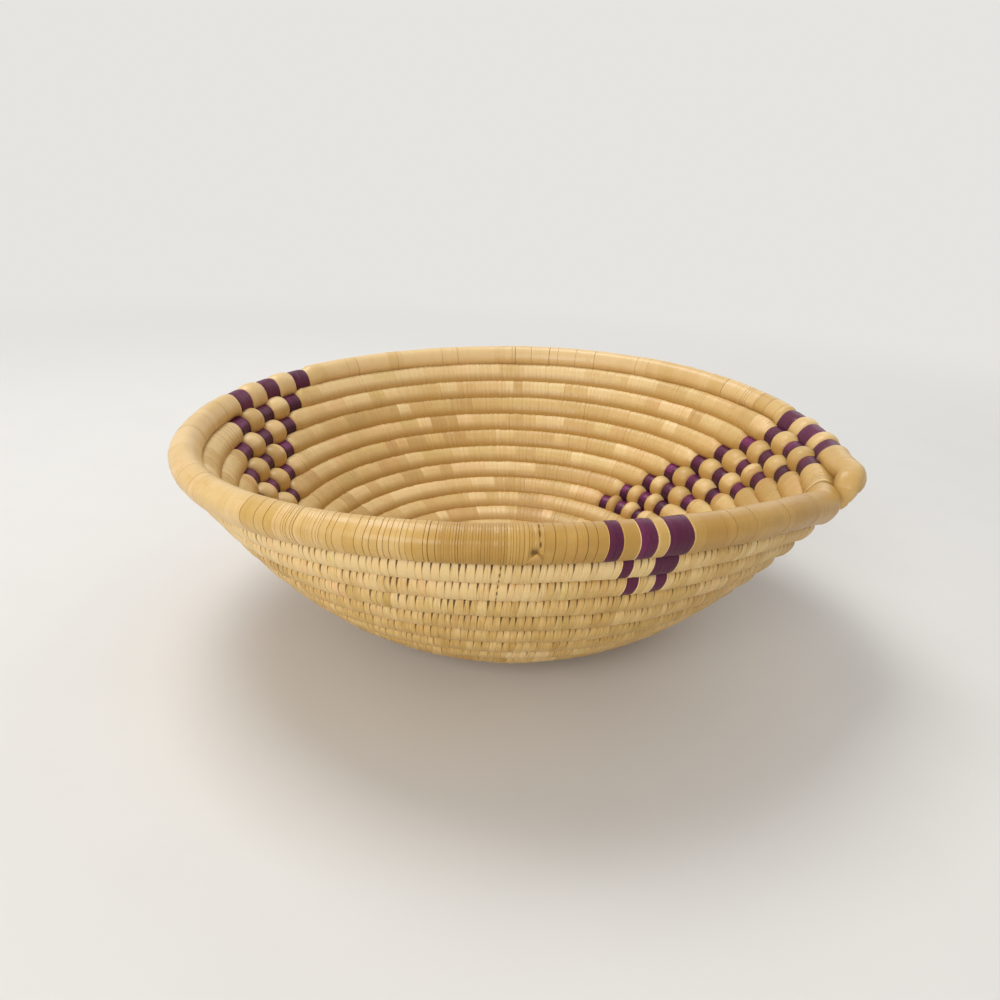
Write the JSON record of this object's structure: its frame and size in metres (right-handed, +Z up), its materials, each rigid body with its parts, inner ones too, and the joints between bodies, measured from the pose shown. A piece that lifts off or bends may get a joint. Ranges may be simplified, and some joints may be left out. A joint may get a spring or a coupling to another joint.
{
  "type": "coiled straw basket",
  "caption": "Round flared basket of coiled straw with a flat foot, a thick rim coil that ends in a corner, and groups of dyed wraps; it holds fruit, bread or small things.",
  "frame": {"origin": "on the ground under the middle of the start knot, the pole of the spiral", "axes": "+Z up, square to the foot; +Y away from the viewer of the picture and +X to the viewer's right, so that the corner of the rim lies at +X and a little to the viewer's side"},
  "size_m": [0.2463, 0.2308, 0.0882],
  "materials": {
    "straw": "dry straw, satin",
    "rim_straw": "straw polished by handling",
    "dyed_straw": "plum dyed straw, satin"
  },
  "bodies": {
    "root": {"start_knot": "straw", "wall_coil": "straw", "rim_coil": "rim_straw", "dyed_wrap_right_row_1_1": "dyed_straw", "dyed_wrap_right_row_1_2": "dyed_straw", "dyed_wrap_right_row_1_3": "dyed_straw", "dyed_wrap_right_row_2_1": "dyed_straw", "dyed_wrap_right_row_2_2": "dyed_straw", "dyed_wrap_right_row_2_3": "dyed_straw", "dyed_wrap_right_row_3_1": "dyed_straw", "dyed_wrap_right_row_3_2": "dyed_straw", "dyed_wrap_right_row_3_3": "dyed_straw", "dyed_wrap_right_row_4_1": "dyed_straw", "dyed_wrap_right_row_4_2": "dyed_straw", "dyed_wrap_right_row_4_3": "dyed_straw", "dyed_wrap_right_row_5_1": "dyed_straw", "dyed_wrap_right_row_5_2": "dyed_straw", "dyed_wrap_right_row_5_3": "dyed_straw", "dyed_wrap_right_row_6_1": "dyed_straw", "dyed_wrap_right_row_6_2": "dyed_straw", "dyed_wrap_right_row_6_3": "dyed_straw", "dyed_wrap_right_row_7_1": "dyed_straw", "dyed_wrap_right_row_7_2": "dyed_straw", "dyed_wrap_right_row_7_3": "dyed_straw", "dyed_wrap_right_row_8_1": "dyed_straw", "dyed_wrap_right_row_8_2": "dyed_straw", "dyed_wrap_right_row_8_3": "dyed_straw", "dyed_wrap_left_row_1_1": "dyed_straw", "dyed_wrap_left_row_1_2": "dyed_straw", "dyed_wrap_left_row_1_3": "dyed_straw", "dyed_wrap_left_row_2_1": "dyed_straw", "dyed_wrap_left_row_2_2": "dyed_straw", "dyed_wrap_left_row_2_3": "dyed_straw", "dyed_wrap_left_row_3_1": "dyed_straw", "dyed_wrap_left_row_3_2": "dyed_straw", "dyed_wrap_left_row_3_3": "dyed_straw", "dyed_wrap_left_row_4_1": "dyed_straw", "dyed_wrap_left_row_4_2": "dyed_straw", "dyed_wrap_left_row_4_3": "dyed_straw", "dyed_wrap_left_row_5_1": "dyed_straw", "dyed_wrap_left_row_5_2": "dyed_straw", "dyed_wrap_left_row_5_3": "dyed_straw", "dyed_wrap_left_row_6_1": "dyed_straw", "dyed_wrap_left_row_6_2": "dyed_straw", "dyed_wrap_left_row_6_3": "dyed_straw", "dyed_wrap_front_row_1_1": "dyed_straw", "dyed_wrap_front_row_1_2": "dyed_straw", "dyed_wrap_front_row_2_1": "dyed_straw", "dyed_wrap_front_row_2_2": "dyed_straw", "dyed_wrap_right_rim_1": "dyed_straw", "dyed_wrap_right_rim_2": "dyed_straw", "dyed_wrap_right_rim_3": "dyed_straw", "dyed_wrap_left_rim_1": "dyed_straw", "dyed_wrap_left_rim_2": "dyed_straw", "dyed_wrap_left_rim_3": "dyed_straw", "dyed_wrap_front_rim_1": "dyed_straw", "dyed_wrap_front_rim_2": "dyed_straw", "dyed_wrap_front_rim_3": "dyed_straw"}
  },
  "joints": []
}
